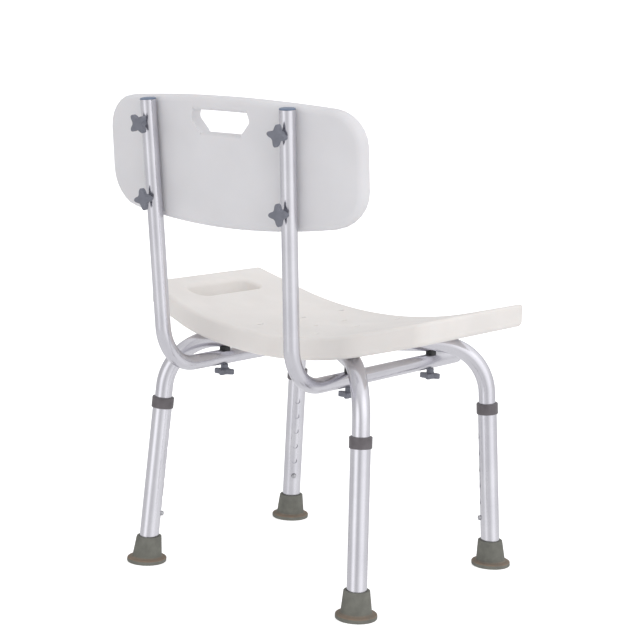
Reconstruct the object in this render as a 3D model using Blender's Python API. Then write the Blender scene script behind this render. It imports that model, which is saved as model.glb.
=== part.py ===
# A shower chair with height-adjustable legs, in metres, +Z up, the sitter facing -Y.
# Two bent aluminium tubes cross under the seat and run down into the four legs. Two L-shaped
# tubes hang under them and rise behind the seat to hold the backrest. Star knobs clamp it all.
from math import atan2, cos, hypot, pi, radians, sin, tan

import bmesh
import bpy
from mathutils import Matrix, Vector

# Driving dimensions
MM = 0.001
CROSSING_Y = -0.0481  # where the two leg tubes cross, ahead of the middle of the whole chair
GAP = 0.3 * MM  # clearance between pieces that touch
WALL = 1.2 * MM  # tube wall
TUBE_SIDES = 16
BEND_STEPS = 6
ARC_STEP = radians(30)  # one facet of a rounded corner
SMALL_R = 6 * MM  # corners tighter than this are a single facet

# Legs
FOOT_HALF_X = 0.195
FOOT_HALF_Y = 0.176
SPLAY = radians(4.3)
FRAME_TUBE_R = 12.7 * MM
LEG_TUBE_R = 14.3 * MM
LEG_BOTTOM = 7.5 * MM  # distances along a leg's axis, from the floor
LEG_TOP = 250.5 * MM
FRAME_TUBE_END = 56 * MM
LOWEST_HOLE = 75 * MM
HOLE_PITCH = 25.4 * MM
HOLE_COUNT = 6
HOLE_R = 4.1 * MM
FRAME_TUBE_Z = 0.342
FRAME_BEND_R = 0.080
CROSSING_FLAT = 20 * MM  # half length of the flattened stretch where the tubes cross
CROSSING_TAPER = 44 * MM
CROSSING_HALF_WIDE = 16 * MM
CROSSING_RECESS_R = 46 * MM  # round recess under the seat for the wider, flattened tubes
CROSSING_HALF_HIGH = 5.4 * MM

# L-shaped tubes
L_TUBE_R = 11.1 * MM
L_TUBE_Z = 0.315
L_TUBE_X = 0.1145
L_FRONT_Y = -0.170
L_CORNER_Y = 0.2345
L_BEND_R = 0.068
POST_LENGTH = 0.3835
POST_LEAN = radians(6.4)
POST_SPREAD = 0.0194  # sideways travel for each metre of post

# Seat
SEAT_HALF_WIDE = 0.250
SEAT_FRONT_Y = -0.140
SEAT_REAR_Y = 0.150
SEAT_CHAMFER_X = 0.150
SEAT_CHAMFER_Y = 0.124
SEAT_TOP_Z = 0.369
SEAT_THICK = 33 * MM
SEAT_DISH_R = 0.606
SEAT_DISH_ANGLE = radians(15.5)
SEAT_EDGE_R = 6 * MM
SEAT_FRONT_CORNER_R = 8 * MM
SEAT_END_CORNER_R = 22 * MM
SEAT_BLEND_R = 0.150
SHELL = 3 * MM  # wall of the two hollow mouldings
VENT_R = 3 * MM  # blow hole into each hollow
VENT_X = 0.13
GRIP_X = 0.2
GRIP_Y = 0.008
GRIP_WIDE = 38 * MM
GRIP_LONG = 0.150
DRAIN_HALF_WIDE = 1.8 * MM
DRAIN_HALF_LONG = 7 * MM
DRAIN_X = 0.052
DRAIN_Y = 0.100
INNER_DRAIN_X = 0.050
INNER_DRAIN_Y = 0.036

# Backrest, in the plane of the posts: across, up the post, and forward of its axis
BACK_HALF_WIDE = 0.2205
BACK_LOW = 0.2318
BACK_HIGH = 0.3787
BACK_BULGE_TOP = 13 * MM
BACK_BULGE_BOTTOM = 20.5 * MM
BACK_REAR = 6.3 * MM
BACK_THICK = 24 * MM
BACK_CURVE_R = 1.3
BACK_CORNER_R = 0.0435
BACK_EDGE_R = 8 * MM
BACK_KNOBS = (0.247, 0.352)
BACK_GRIP_LOW = 0.3405
BACK_GRIP_HIGH = 0.3725
BACK_GRIP_HALF_LOW = 0.034
BACK_GRIP_HALF_HIGH = 0.051

# Fasteners and fittings
BOLT_R = 3 * MM
BOLT_HOLE_R = 3.4 * MM
INSERT_R = 5 * MM
INSERT_LONG = 9 * MM
BOSS_R = 8 * MM
SKIN = 1 * MM  # plastic left between an insert and the face in front of it
RIVET_R = 3 * MM
RIVET_HEAD_R = 6 * MM
RIVET_HEAD = 1 * MM
KNOB_R = 15.4 * MM
KNOB_VALLEY = 0.58  # radius between two lobes, as a share of the radius at a lobe
KNOB_TAPER = 1.3  # above 1 the lobes are narrower than the gaps between them
KNOB_SIDES = 24
SEAT_KNOB_TURN = radians(20)
BACK_KNOB_TURNS = {
    "low_left": radians(-9),
    "high_left": radians(-42),
    "low_right": radians(-4),
    "high_right": radians(10),
}
KNOB_STEM_R = 5.5 * MM
KNOB_STEM = 7 * MM
KNOB_HEAD = 8 * MM
KNOB_EDGE = 1.5 * MM  # chamfer round the knob's face
KNOB_BORE = 11 * MM  # depth of the stud's hole
CAP_HEAD = 2.5 * MM
CAP_SHANK = 12 * MM
COLLAR_R = 16.3 * MM
COLLAR_LONG = 16.4 * MM
COLLAR_LIP = 2.7 * MM
FOOT_R = 29.5 * MM
FOOT_FLANGE = 6.5 * MM
FOOT_CONE_LOW_R = 21.5 * MM
FOOT_CONE_HIGH_R = 18.6 * MM
FOOT_HIGH = 39.5 * MM
FOOT_FLOOR = 5.6 * MM
BUTTON_R = 3.7 * MM
BUTTON_PROUD = 4.2 * MM
SPRING_THICK = 0.8 * MM
SPRING_WIDE = 7 * MM
SPRING_HIGH = 52 * MM  # from the button up to the fold of the V
SADDLE_HALF = 6.8 * MM
SADDLE_LOW_Z = 0.3240
SADDLE_HIGH_Z = 0.3318
SADDLE_CORNER_R = 4 * MM

ACROSS = hypot(FOOT_HALF_X, FOOT_HALF_Y)  # from the crossing to a leg's foot
BOLT_Y = L_TUBE_X * FOOT_HALF_Y / FOOT_HALF_X  # where the L tubes pass under the frame tubes
BOLT_ACROSS = hypot(L_TUBE_X, BOLT_Y)
CHANNEL_R = FRAME_TUBE_R + 0.8 * MM  # groove under the seat for a frame tube
CHANNEL_TOP = FRAME_TUBE_Z + CHANNEL_R
LEGS = {
    "rear_left": (1, 1),
    "rear_right": (-1, 1),
    "front_left": (1, -1),
    "front_right": (-1, -1),
}
SIDES = {"left": 1, "right": -1}


def linear(code):
    """Linear colour from an sRGB hex code."""
    parts = [int(code[i : i + 2], 16) / 255 for i in (0, 2, 4)]
    return [c / 12.92 if c <= 0.04045 else ((c + 0.055) / 1.055) ** 2.4 for c in parts] + [1.0]


def material(name, code, roughness, metallic=0.0):
    mat = bpy.data.materials.new(name)
    mat.use_nodes = True
    shader = mat.node_tree.nodes["Principled BSDF"]
    shader.inputs["Base Color"].default_value = linear(code)
    shader.inputs["Roughness"].default_value = roughness
    shader.inputs["Metallic"].default_value = metallic
    return mat


def place(name, mesh, parent, finish=None, location=(0, 0, 0), rotation=(0, 0, 0)):
    """Put a mesh in the scene under a parent. Without a finish it is a cutter."""
    obj = bpy.data.objects.new(name, mesh)
    bpy.context.collection.objects.link(obj)
    obj.parent = parent
    obj.location = location
    obj.rotation_euler = rotation
    if finish is None:
        obj.hide_render = True
        obj.display_type = "WIRE"
        return obj
    if not mesh.materials:
        mesh.materials.append(finish)
        mesh.shade_smooth()
        mesh.set_sharp_from_angle(angle=radians(35))
    return obj


def empty(name, parent=None, location=(0, 0, 0), rotation=(0, 0, 0)):
    obj = bpy.data.objects.new(name, None)
    bpy.context.collection.objects.link(obj)
    obj.parent = parent
    obj.location = location
    obj.rotation_euler = rotation
    return obj


def to_mesh(bm, name):
    bmesh.ops.remove_doubles(bm, verts=bm.verts, dist=1e-6)
    bmesh.ops.recalc_face_normals(bm, faces=bm.faces)
    mesh = bpy.data.meshes.new(name)
    bm.to_mesh(mesh)
    bm.free()
    return mesh


def cut(obj, *cutters):
    for cutter in cutters:
        modifier = obj.modifiers.new(cutter.name, "BOOLEAN")
        modifier.operation = "DIFFERENCE"
        modifier.solver = "EXACT"
        modifier.object = cutter


def solidify(obj, thickness):
    modifier = obj.modifiers.new("wall", "SOLIDIFY")
    modifier.thickness = thickness
    modifier.offset = -1
    modifier.use_even_offset = True


def turned(name, profile, sides=TUBE_SIDES, closed=False):
    """Turn a profile of (radius, height) points about Z. A closed one gives a ring."""
    bm = bmesh.new()
    verts = [bm.verts.new((r, 0, z)) for r, z in profile]
    edges = [bm.edges.new(pair) for pair in zip(verts, verts[1:])]
    if closed:
        edges.append(bm.edges.new((verts[-1], verts[0])))
    bmesh.ops.spin(
        bm, geom=verts + edges, cent=(0, 0, 0), axis=(0, 0, 1), angle=2 * pi, steps=sides, use_merge=True
    )
    return to_mesh(bm, name)


def rod(name, radius, low, high, sides=8):
    return turned(name, [(0, low), (radius, low), (radius, high), (0, high)], sides)


def rods(name, radius, low, high, places, sides=8):
    """Several equal rods along Z in one mesh, for cutting."""
    bm = bmesh.new()
    for x, y in places:
        bmesh.ops.create_cone(
            bm,
            cap_ends=True,
            segments=sides,
            radius1=radius,
            radius2=radius,
            depth=high - low,
            matrix=Matrix.Translation((x, y, (low + high) / 2)),
        )
    return to_mesh(bm, name)


def ring_parts(result):
    verts = [g for g in result if isinstance(g, bmesh.types.BMVert)]
    edges = [g for g in result if isinstance(g, bmesh.types.BMEdge)]
    return verts, edges


def start_ring(bm, radius, centre, direction):
    turn = Vector((0, 0, 1)).rotation_difference(Vector(direction)).to_matrix().to_4x4()
    made = bmesh.ops.create_circle(
        bm, cap_ends=False, segments=TUBE_SIDES, radius=radius, matrix=Matrix.Translation(centre) @ turn
    )
    return made["verts"], list({e for v in made["verts"] for e in v.link_edges})


def extend(bm, ring, step):
    """Draw the open end of a tube out by a vector."""
    grown = bmesh.ops.extrude_edge_only(bm, edges=ring[1])
    verts, edges = ring_parts(grown["geom"])
    bmesh.ops.translate(bm, verts=verts, vec=step)
    return verts, [e for e in edges if e.is_boundary]


def bend(bm, ring, centre, axis, angle):
    """Turn the open end of a tube about a bend's centre."""
    swept = bmesh.ops.spin(
        bm, geom=ring[0] + ring[1], cent=centre, axis=axis, angle=angle, steps=BEND_STEPS
    )
    return ring_parts(swept["geom_last"])


def flatten(bm, ring, centre, wide, high, rise):
    """Press the tube's section to a flat oval, and move it up or down."""
    squash = Matrix.Diagonal((1, wide / FRAME_TUBE_R, high / FRAME_TUBE_R, 1))
    shift = Matrix.Translation(centre)
    bmesh.ops.transform(
        bm, matrix=Matrix.Translation((0, 0, rise)) @ shift @ squash @ shift.inverted(), verts=ring[0]
    )


def rounded_outline(corners, inset=0.0):
    """Corner points (x, y, radius), anticlockwise, moved in by an inset and rounded off."""
    count = len(corners)
    points = [Vector(c[:2]) for c in corners]
    lines = []
    for i in range(count):
        along = (points[(i + 1) % count] - points[i]).normalized()
        inward = Vector((-along.y, along.x))
        lines.append((points[i] + inward * inset, along))
    outline = []
    for i in range(count):
        (before, u), (after, v) = lines[i - 1], lines[i]
        gap = after - before
        corner = before + u * (gap.x * v.y - gap.y * v.x) / (u.x * v.y - u.y * v.x)
        turn = u.angle(v)
        radius = max(corners[i][2] - inset, 1 * MM)
        centre = corner - u * radius * tan(turn / 2) + Vector((-u.y, u.x)) * radius
        steps = max(1 if radius < SMALL_R else 2, round(turn / ARC_STEP))
        first = atan2(-u.x, u.y)
        for k in range(steps + 1):
            angle = first + turn * k / steps
            outline.append(centre + radius * Vector((sin(angle + pi / 2), -cos(angle + pi / 2))))
    return outline


def slab(outline, thickness, edge_r, stations):
    """A flat plate with rounded edges, divided across X so that it can be bent."""
    bm = bmesh.new()
    face = bm.faces.new([bm.verts.new((p.x, p.y, 0)) for p in outline])
    raised = bmesh.ops.extrude_face_region(bm, geom=[face])
    verts, _ = ring_parts(raised["geom"])
    bmesh.ops.translate(bm, verts=verts, vec=(0, 0, thickness))
    rim = [e for e in bm.edges if abs(e.verts[0].co.z - e.verts[1].co.z) < 1e-6]
    bmesh.ops.bevel(
        bm, geom=rim, affect="EDGES", offset=edge_r, segments=2, profile=0.5, material=-1
    )
    for x in stations:
        geom = bm.verts[:] + bm.edges[:] + bm.faces[:]
        bmesh.ops.bisect_plane(bm, geom=geom, plane_co=(x, 0, 0), plane_no=(1, 0, 0), dist=1e-6)
    return bm


def prism(name, outline, low, high):
    """A straight-sided cutter over an outline."""
    bm = bmesh.new()
    face = bm.faces.new([bm.verts.new((p.x, p.y, low)) for p in outline])
    raised = bmesh.ops.extrude_face_region(bm, geom=[face])
    verts, _ = ring_parts(raised["geom"])
    bmesh.ops.translate(bm, verts=verts, vec=(0, 0, high - low))
    return to_mesh(bm, name)


def leg_angle(side):
    """Heading, in plan, from a foot towards the crossing."""
    return atan2(-side[1] * FOOT_HALF_Y, -side[0] * FOOT_HALF_X)


def frame_tube(name, heading, rise, chair, finish):
    """One leg, across under the seat, and down into the opposite leg."""
    corner = ACROSS - FRAME_TUBE_Z * tan(SPLAY)
    turn = pi / 2 - SPLAY
    reach = FRAME_BEND_R * tan(turn / 2)
    up = Vector((-sin(SPLAY), 0, cos(SPLAY)))
    bottom = Vector((ACROSS, 0, 0)) + up * FRAME_TUBE_END
    bend_start = Vector((corner, 0, FRAME_TUBE_Z)) - up * reach
    run = corner - reach
    bm = bmesh.new()
    ring = start_ring(bm, FRAME_TUBE_R, bottom, up)
    ring = extend(bm, ring, bend_start - bottom)
    ring = bend(bm, ring, (run, 0, FRAME_TUBE_Z - FRAME_BEND_R), (0, -1, 0), turn)
    ring = extend(bm, ring, (CROSSING_TAPER - run, 0, 0))
    ring = extend(bm, ring, (CROSSING_FLAT - CROSSING_TAPER, 0, 0))
    first_flat = ring
    ring = extend(bm, ring, (-2 * CROSSING_FLAT, 0, 0))
    second_flat = ring
    ring = extend(bm, ring, (CROSSING_FLAT - CROSSING_TAPER, 0, 0))
    ring = extend(bm, ring, (CROSSING_TAPER - run, 0, 0))
    ring = bend(bm, ring, (-run, 0, FRAME_TUBE_Z - FRAME_BEND_R), (0, -1, 0), turn)
    extend(bm, ring, Vector((-bottom.x, 0, bottom.z)) - Vector((-bend_start.x, 0, bend_start.z)))
    for flat, x in ((first_flat, CROSSING_FLAT), (second_flat, -CROSSING_FLAT)):
        flatten(bm, flat, (x, 0, FRAME_TUBE_Z), CROSSING_HALF_WIDE, CROSSING_HALF_HIGH, rise)
    tube = place(name, to_mesh(bm, name), chair, finish, rotation=(0, 0, heading))
    solidify(tube, WALL)
    drill = rods(
        name + "_drill",
        BOLT_HOLE_R,
        FRAME_TUBE_Z - 0.02,
        FRAME_TUBE_Z + 0.02,
        [(-BOLT_ACROSS, 0), (0, 0), (BOLT_ACROSS, 0)],
    )
    cutters = [place(name + "_drill", drill, tube)]
    for end in (1, -1):
        drill = rod(name + "_button_drill", HOLE_R, 0, 0.02)
        spot = Vector((end * (ACROSS - LOWEST_HOLE * sin(SPLAY)), 0, LOWEST_HOLE * cos(SPLAY)))
        cutters.append(place(drill.name, drill, tube, None, spot, (0, -end * (pi / 2 + SPLAY), 0)))
    cut(tube, *cutters)


def l_tube(name, side, chair, finish):
    """Along under the frame tubes, and up behind the seat as a post."""
    up = Vector((side * POST_SPREAD, sin(POST_LEAN), cos(POST_LEAN))).normalized()
    back = Vector((0, 1, 0))
    corner = Vector((side * L_TUBE_X, L_CORNER_Y, L_TUBE_Z))
    front = Vector((side * L_TUBE_X, L_FRONT_Y, L_TUBE_Z))
    turn = back.angle(up)
    reach = L_BEND_R * tan(turn / 2)
    inward = (up - up.dot(back) * back).normalized()
    bend_start = corner - back * reach
    bm = bmesh.new()
    ring = start_ring(bm, L_TUBE_R, front, back)
    ring = extend(bm, ring, bend_start - front)
    ring = bend(bm, ring, bend_start + inward * L_BEND_R, back.cross(up).normalized(), turn)
    extend(bm, ring, up * (POST_LENGTH - reach))
    tube = place(name, to_mesh(bm, name), chair, finish)
    solidify(tube, WALL)
    drill = rods(
        name + "_drill",
        BOLT_HOLE_R,
        L_TUBE_Z - 0.02,
        L_TUBE_Z + 0.02,
        [(side * L_TUBE_X, -BOLT_Y), (side * L_TUBE_X, BOLT_Y)],
    )
    cut(tube, place(name + "_drill", drill, chair))
    return tube


def post_x(height):
    """Half the distance between the posts' axes, at a height up the post."""
    return L_TUBE_X + POST_SPREAD * height


def seat_rise(x):
    """How much the seat is raised at x above its middle: an arc, then a straight flank."""
    flank = SEAT_DISH_R * sin(SEAT_DISH_ANGLE)
    if abs(x) <= flank:
        return SEAT_DISH_R - (SEAT_DISH_R**2 - x * x) ** 0.5
    return SEAT_DISH_R * (1 - cos(SEAT_DISH_ANGLE)) + (abs(x) - flank) * tan(SEAT_DISH_ANGLE)


def seat_body(name, inset):
    """The seat's closed form, or, with an inset, the hollow inside it."""
    corners = [
        (-SEAT_HALF_WIDE, SEAT_FRONT_Y, SEAT_FRONT_CORNER_R),
        (SEAT_HALF_WIDE, SEAT_FRONT_Y, SEAT_FRONT_CORNER_R),
        (SEAT_HALF_WIDE, SEAT_CHAMFER_Y, SEAT_END_CORNER_R),
        (SEAT_CHAMFER_X, SEAT_REAR_Y, SEAT_BLEND_R),
        (-SEAT_CHAMFER_X, SEAT_REAR_Y, SEAT_BLEND_R),
        (-SEAT_HALF_WIDE, SEAT_CHAMFER_Y, SEAT_END_CORNER_R),
    ]
    stations = [SEAT_DISH_R * sin(SEAT_DISH_ANGLE * k / 5) for k in range(-5, 6)]
    bm = slab(rounded_outline(corners, inset), SEAT_THICK - 2 * inset, SEAT_EDGE_R - inset, stations)
    for vert in bm.verts:
        vert.co.z += SEAT_TOP_Z - SEAT_THICK + inset + seat_rise(vert.co.x)
    return to_mesh(bm, name)


def slot_outline(x, y, half_x, half_y, radius):
    signs = [(-1, -1), (1, -1), (1, 1), (-1, 1)]
    return rounded_outline([(x + sx * half_x, y + sy * half_y, radius) for sx, sy in signs])


def channel(radius):
    """A round-topped groove along X, open downwards, through which a frame tube runs."""
    steps = TUBE_SIDES // 2
    section = [(radius * cos(pi * k / steps), radius * sin(pi * k / steps)) for k in range(steps + 1)]
    section += [(-radius, -SEAT_THICK), (radius, -SEAT_THICK)]
    half = ACROSS + 0.05
    bm = bmesh.new()
    face = bm.faces.new([bm.verts.new((-half, y, z)) for y, z in section])
    drawn = bmesh.ops.extrude_face_region(bm, geom=[face])
    bmesh.ops.translate(bm, verts=ring_parts(drawn["geom"])[0], vec=(2 * half, 0, 0))
    return to_mesh(bm, "channel")


def drains():
    """Places of the drain slots, clear of the two channels."""
    corners = [(sx * DRAIN_X, sy * DRAIN_Y) for sx in (1, -1) for sy in (1, -1)]
    beside = [(INNER_DRAIN_X, 0), (-INNER_DRAIN_X, 0)]
    return corners + beside + [(0, INNER_DRAIN_Y), (0, -INNER_DRAIN_Y)]


def seat_cutters(chair, extra):
    """Everything cut from the seat, grown by an extra wall when it is cut from the hollow."""
    tag = "_wall" if extra else "_cut"
    made = []
    low, high = SEAT_TOP_Z - 0.06, SEAT_TOP_Z + 0.09
    for side in SIDES.values():
        wide, long = GRIP_WIDE / 2 + extra, GRIP_LONG / 2 + extra
        outline = slot_outline(side * GRIP_X, GRIP_Y, wide, long, wide - 2 * MM)
        made.append(place("seat_grip" + tag, prism("seat_grip", outline, low, high), chair))
    for x, y in drains():
        wide, long = DRAIN_HALF_WIDE + extra, DRAIN_HALF_LONG + extra
        outline = slot_outline(x, y, wide, long, wide - 0.1 * MM)
        made.append(place("seat_drain" + tag, prism("seat_drain", outline, low, high), chair))
    recess = rod("seat_recess", CROSSING_RECESS_R + extra, -0.05, CHANNEL_TOP + 0.5 * MM + extra, 24)
    made.append(place("seat_recess" + tag, recess, chair))
    for side in (LEGS["rear_left"], LEGS["rear_right"]):
        groove = channel(CHANNEL_R + extra)
        turn = (0, 0, leg_angle(side))
        made.append(place("seat_channel" + tag, groove, chair, None, (0, 0, FRAME_TUBE_Z), turn))
    return made


def seat_bolts():
    return [(sx * L_TUBE_X, sy * BOLT_Y) for sx, sy in LEGS.values()]


def seat(chair, finish):
    body = place("seat_panel", seat_body("seat_panel", 0.0), chair, finish)
    hollow = place("seat_hollow", seat_body("seat_hollow", SHELL), chair)
    boss_low = CHANNEL_TOP - 0.01
    bosses = rods("seat_bosses", BOSS_R, boss_low, SEAT_TOP_Z + 0.05, seat_bolts())
    cut(hollow, *seat_cutters(chair, SHELL), place("seat_bosses", bosses, chair))
    pocket_end = CHANNEL_TOP + SKIN + INSERT_LONG + 2 * GAP
    pockets = rods("seat_pockets", INSERT_R + GAP, boss_low, pocket_end, seat_bolts(), TUBE_SIDES)
    vent_at = (VENT_X, 0, SEAT_TOP_Z - SEAT_THICK + seat_rise(VENT_X))
    vent = place("seat_vent", rod("seat_vent", VENT_R, -2 * MM, 2 * SHELL), chair, None, vent_at)
    cut(body, hollow, *seat_cutters(chair, 0.0), place("seat_pockets", pockets, chair), vent)


def back_body(name, inset):
    corners = [
        (-BACK_HALF_WIDE, BACK_LOW, BACK_CORNER_R),
        (BACK_HALF_WIDE, BACK_LOW, BACK_CORNER_R),
        (BACK_HALF_WIDE, BACK_HIGH, BACK_CORNER_R),
        (-BACK_HALF_WIDE, BACK_HIGH, BACK_CORNER_R),
    ]
    stations = [BACK_HALF_WIDE * k / 6 for k in range(-5, 6)]
    bm = slab(rounded_outline(corners, inset), BACK_THICK - 2 * inset, BACK_EDGE_R - inset, stations)
    middle = (BACK_LOW + BACK_HIGH) / 2
    half = (BACK_HIGH - BACK_LOW) / 2
    for vert in bm.verts:
        crown = 1 - (vert.co.x / BACK_HALF_WIDE) ** 2
        share = (vert.co.y - middle) / half
        vert.co.y += share * (BACK_BULGE_TOP if share > 0 else BACK_BULGE_BOTTOM) * crown
        vert.co.z += BACK_REAR + inset + vert.co.x**2 / (2 * BACK_CURVE_R)
    return to_mesh(bm, name)


def back_bolts():
    return [(side * post_x(h), h) for side in SIDES.values() for h in BACK_KNOBS]


def backrest(posts, finish):
    grip = [
        (-BACK_GRIP_HALF_LOW, BACK_GRIP_LOW, 4 * MM),
        (BACK_GRIP_HALF_LOW, BACK_GRIP_LOW, 4 * MM),
        (BACK_GRIP_HALF_HIGH, BACK_GRIP_HIGH - 12 * MM, 6 * MM),
        (BACK_GRIP_HALF_HIGH - 3 * MM, BACK_GRIP_HIGH, 4 * MM),
        (3 * MM - BACK_GRIP_HALF_HIGH, BACK_GRIP_HIGH, 4 * MM),
        (-BACK_GRIP_HALF_HIGH, BACK_GRIP_HIGH - 12 * MM, 6 * MM),
    ]
    body = place("backrest_panel", back_body("backrest_panel", 0.0), posts, finish)
    hollow = place("back_hollow", back_body("back_hollow", SHELL), posts)
    wall = prism("back_grip_wall", rounded_outline(grip, -SHELL), 0, 0.06)
    bosses = rods("back_bosses", BOSS_R, 0, 0.06, back_bolts())
    cut(hollow, place("back_grip_wall", wall, posts), place("back_bosses", bosses, posts))
    hole = prism("back_grip_cut", rounded_outline(grip), 0, 0.06)
    pocket_end = BACK_REAR + post_x(BACK_KNOBS[0]) ** 2 / (2 * BACK_CURVE_R) + SKIN + INSERT_LONG
    pockets = rods("back_pockets", INSERT_R + GAP, 0, pocket_end + 2 * GAP, back_bolts(), TUBE_SIDES)
    vent_at = (0, BACK_LOW + 0.03, BACK_REAR)
    vent = place("back_vent", rod("back_vent", VENT_R, -2 * MM, 2 * SHELL), posts, None, vent_at)
    cut(body, hollow, place("back_grip_cut", hole, posts), place("back_pockets", pockets, posts), vent)


def knob_mesh():
    """A four-lobed knob on a round stem, with a blind hole for its stud."""

    def lobed(angle):
        lobe = (0.5 + 0.5 * cos(4 * angle)) ** KNOB_TAPER
        return KNOB_R * (KNOB_VALLEY + (1 - KNOB_VALLEY) * lobe)

    top = KNOB_STEM + KNOB_HEAD
    rings = [
        (lambda a: BOLT_R + GAP, KNOB_BORE),
        (lambda a: BOLT_R + GAP, 0),
        (lambda a: KNOB_STEM_R, 0),
        (lambda a: KNOB_STEM_R, KNOB_STEM),
        (lobed, KNOB_STEM + 0.5 * MM),
        (lobed, top - KNOB_EDGE),
        (lambda a: lobed(a) - KNOB_EDGE, top),
    ]
    bm = bmesh.new()
    made = bmesh.ops.create_circle(bm, cap_ends=False, segments=KNOB_SIDES, radius=1)
    ring = (made["verts"], bm.edges[:])
    for radius, height in rings:
        if radius is not rings[0][0]:
            ring = extend(bm, ring, (0, 0, 0))
        for vert in ring[0]:
            angle = atan2(vert.co.y, vert.co.x)
            vert.co = (radius(angle) * cos(angle), radius(angle) * sin(angle), height)
    bmesh.ops.holes_fill(bm, edges=[e for e in bm.edges if e.is_boundary], sides=KNOB_SIDES)
    return to_mesh(bm, "knob")


def saddle(name, side, chair, finish):
    """A thin block between an L tube and the frame tube that crosses over it."""
    x, y = side[0] * L_TUBE_X, side[1] * BOLT_Y
    outline = slot_outline(x, y, SADDLE_HALF, SADDLE_HALF, SADDLE_CORNER_R)
    block = place(name, prism(name, outline, SADDLE_LOW_Z, SADDLE_HIGH_Z), chair, finish)
    below = rod(name + "_below", L_TUBE_R + GAP, -0.03, 0.03, 24)
    above = rod(name + "_above", FRAME_TUBE_R + GAP, -0.03, 0.03, 24)
    hole = rod(name + "_hole", BOLT_HOLE_R, -0.02, 0.02)
    cut(
        block,
        place(below.name, below, chair, None, (x, y, L_TUBE_Z), (pi / 2, 0, 0)),
        place(above.name, above, chair, None, (x, y, FRAME_TUBE_Z), (0, pi / 2, leg_angle(side))),
        place(hole.name, hole, chair, None, (x, y, FRAME_TUBE_Z)),
    )


def foot_mesh():
    """A rubber tip whose flange lies flat on the floor while its socket leans with the leg."""
    bore = LEG_TUBE_R + GAP
    profile = [
        (0, 0),
        (FOOT_R - 1 * MM, 0),
        (FOOT_R, 1 * MM),
        (FOOT_R, FOOT_FLANGE),
        (FOOT_CONE_LOW_R, FOOT_FLANGE + 2 * MM),
        (FOOT_CONE_HIGH_R, FOOT_HIGH - 1.5 * MM),
        (FOOT_CONE_HIGH_R - 1 * MM, FOOT_HIGH),
        (bore, FOOT_HIGH),
        (bore, FOOT_FLOOR),
        (0, FOOT_FLOOR),
    ]
    mesh = turned("foot", profile)
    lean = Matrix.Identity(4)
    lean[0][2] = tan(SPLAY)
    mesh.transform(lean)
    return mesh


def v_spring_mesh():
    """A bent strip: one arm behind the button, the other against the far wall of the tube."""
    inside = FRAME_TUBE_R - WALL - GAP
    button_back = inside - 1.9 * MM
    far_wall = 1.5 * MM - inside
    profile = [
        (button_back, -6 * MM),
        (button_back, 8 * MM),
        (0, SPRING_HIGH),
        (far_wall, 6 * MM),
        (far_wall, -4 * MM),
    ]
    bm = bmesh.new()
    verts = [bm.verts.new((x, -SPRING_WIDE / 2, z)) for x, z in profile]
    edges = [bm.edges.new(pair) for pair in zip(verts, verts[1:])]
    grown = bmesh.ops.extrude_edge_only(bm, edges=edges)
    bmesh.ops.translate(bm, verts=ring_parts(grown["geom"])[0], vec=(0, SPRING_WIDE, 0))
    bmesh.ops.recalc_face_normals(bm, faces=bm.faces)
    bmesh.ops.solidify(bm, geom=bm.faces[:], thickness=SPRING_THICK)
    return to_mesh(bm, "v_spring")


def leg(name, side, chair, finishes, shared):
    """The leg tube that slides on the frame tube, and all that sits on it."""
    heading = leg_angle(side)
    foot_at = (side[0] * FOOT_HALF_X, side[1] * FOOT_HALF_Y, 0)
    axis = empty("leg_axis_" + name, chair, foot_at, (0, SPLAY, heading))
    tube = place("leg_tube_" + name, shared["leg_tube"].copy(), axis, finishes["tube"])
    drills = [
        place("leg_drill_" + name, shared["leg_drill"], axis, None, (0, 0, h), (0, pi / 2, 0))
        for h in [LOWEST_HOLE + HOLE_PITCH * k for k in range(HOLE_COUNT)]
    ]
    cut(tube, *drills)
    place("leg_collar_" + name, shared["collar"], axis, finishes["collar"], (0, 0, LEG_TOP))
    at_button = empty("button_axis_" + name, axis, (0, 0, LOWEST_HOLE), (0, pi / 2, 0))
    place("snap_button_" + name, shared["button"], at_button, finishes["steel"])
    place("button_spring_" + name, shared["v_spring"], axis, finishes["steel"], (0, 0, LOWEST_HOLE))
    place("foot_tip_" + name, shared["foot"], chair, finishes["rubber"], foot_at, (0, 0, heading))


def leg_parts():
    """Meshes that the four legs share."""
    bore = LEG_TUBE_R - WALL
    wall = [(bore, LEG_BOTTOM), (LEG_TUBE_R, LEG_BOTTOM), (LEG_TUBE_R, LEG_TOP), (bore, LEG_TOP)]
    tube = turned("leg_tube", wall, closed=True)
    skirt = LEG_TUBE_R + GAP
    neck = FRAME_TUBE_R + GAP
    collar = turned(
        "collar",
        [
            (skirt, COLLAR_LIP - COLLAR_LONG),
            (COLLAR_R, COLLAR_LIP - COLLAR_LONG),
            (COLLAR_R, COLLAR_LIP - 1 * MM),
            (COLLAR_R - 1 * MM, COLLAR_LIP),
            (neck, COLLAR_LIP),
            (neck, GAP),
            (skirt, GAP),
        ],
        closed=True,
    )
    inside = FRAME_TUBE_R - WALL - GAP
    proud = LEG_TUBE_R + BUTTON_PROUD
    button = turned(
        "button",
        [
            (0, inside - 1.5 * MM),
            (5 * MM, inside - 1.5 * MM),
            (5 * MM, inside - 1.4 * MM),
            (BUTTON_R, inside - 0.6 * MM),
            (BUTTON_R, proud - 2 * MM),
            (BUTTON_R * 0.75, proud - 0.6 * MM),
            (0, proud),
        ],
        12,
    )
    return {
        "leg_tube": tube,
        "leg_drill": rod("leg_drill", HOLE_R, FRAME_TUBE_R / 2, LEG_TUBE_R + 3 * MM),
        "collar": collar,
        "button": button,
        "v_spring": v_spring_mesh(),
        "foot": foot_mesh(),
    }


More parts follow.
